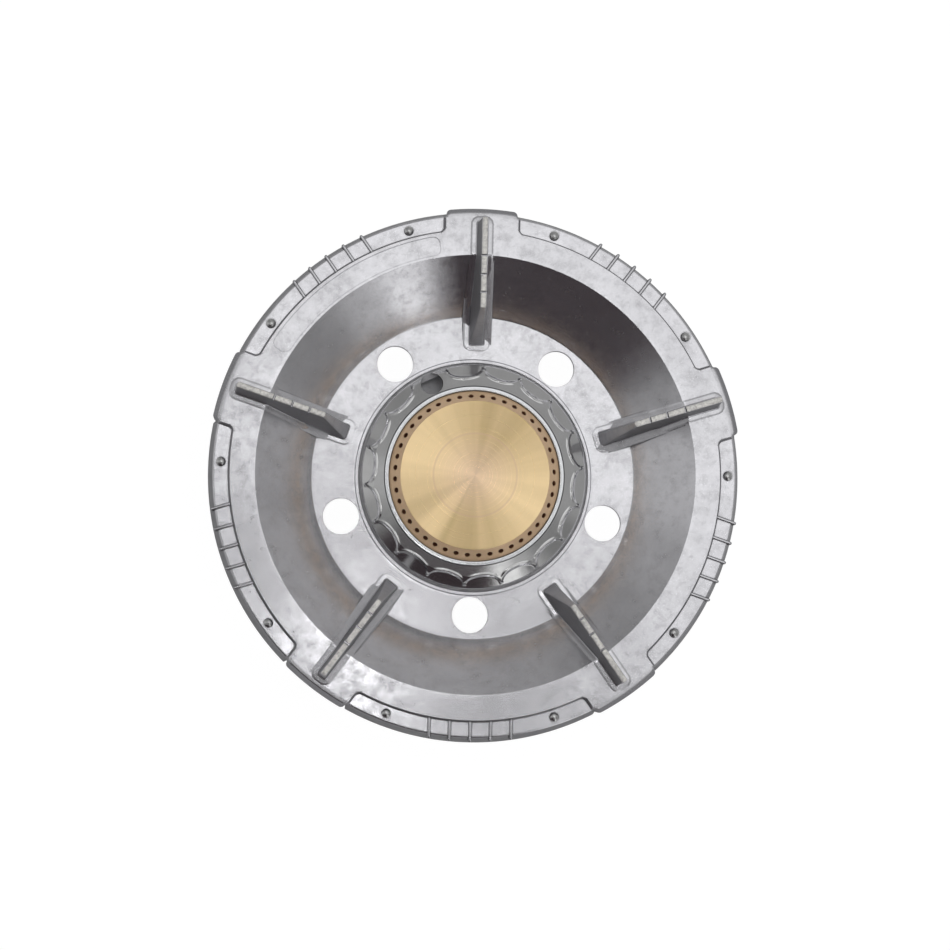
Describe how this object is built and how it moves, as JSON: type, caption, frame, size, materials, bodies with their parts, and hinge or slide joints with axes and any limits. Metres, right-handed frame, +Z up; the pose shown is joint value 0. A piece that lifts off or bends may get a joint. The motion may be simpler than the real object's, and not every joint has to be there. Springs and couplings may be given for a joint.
{
  "type": "gas burner",
  "caption": "Round table-top gas burner: cast bowl with radial pan-support ribs, drilled brass cap, scalloped bright tray, mixing tube with air shutter, strap-leg stand.",
  "frame": {"origin": "on the table, under the axis of the bowl", "axes": "+Z up along the axis of the bowl and of the burner cap, +Y along the mixing tube away from the burner body, +X along the inlet nozzle towards the hose"},
  "size_m": [0.3118, 0.3118, 0.1136],
  "materials": {
    "cast_alloy": "cast, cloudy satin on the rim and flat ring, polished on the cone",
    "body_alloy": "sand cast, machined on the top rim and the joint faces",
    "steel": "zinc plated, satin",
    "mirror_steel": "pressed and mirror polished",
    "brass": "turned, with fine circular marks",
    "rubber": "matt, moulded",
    "fibre": "compressed fibre sheet"
  },
  "bodies": {
    "burner": {"pan_support": "cast_alloy", "rim_rivet_1": "steel", "rim_rivet_2": "steel", "rim_rivet_3": "steel", "rim_rivet_4": "steel", "rim_rivet_5": "steel", "rim_rivet_6": "steel", "rim_rivet_7": "steel", "rim_rivet_8": "steel", "rim_rivet_9": "steel", "rim_rivet_10": "steel", "stand_ring": "steel", "leg_1": "steel", "leg_2": "steel", "leg_3": "steel", "leg_4": "steel", "leg_5": "steel", "leg_screw_1": "steel", "leg_screw_2": "steel", "leg_screw_3": "steel", "leg_screw_4": "steel", "leg_screw_5": "steel", "foot_1": "rubber", "foot_2": "rubber", "foot_3": "rubber", "foot_4": "rubber", "foot_5": "rubber", "burner_body": "body_alloy", "burner_screw_1": "steel", "burner_screw_2": "steel", "burner_screw_3": "steel", "burner_screw_4": "steel", "tube_gasket": "fibre", "mixing_tube": "body_alloy", "tube_screw_1": "steel", "tube_screw_2": "steel", "injector_holder": "brass", "injector_jet": "brass", "inlet_nut": "brass", "inlet_nozzle": "brass"},
    "cap": {"burner_cap": "brass"},
    "tray": {"burner_tray": "mirror_steel"},
    "shutter": {"air_shutter": "steel", "shutter_screw": "brass"}
  },
  "joints": [
    {"name": "cap_lift", "type": "slide", "parent": "burner", "child": "cap", "axis": [0, 0, 1], "range_m": [0, 0.06]},
    {"name": "tray_lift", "type": "slide", "parent": "burner", "child": "tray", "axis": [0, 0, 1], "range_m": [0, 0.08]},
    {"name": "shutter_turn", "type": "hinge", "parent": "burner", "child": "shutter", "pos_m": [0, 0.088, 0.038], "axis": [0, 1, 0], "range_deg": [0, 45]}
  ]
}
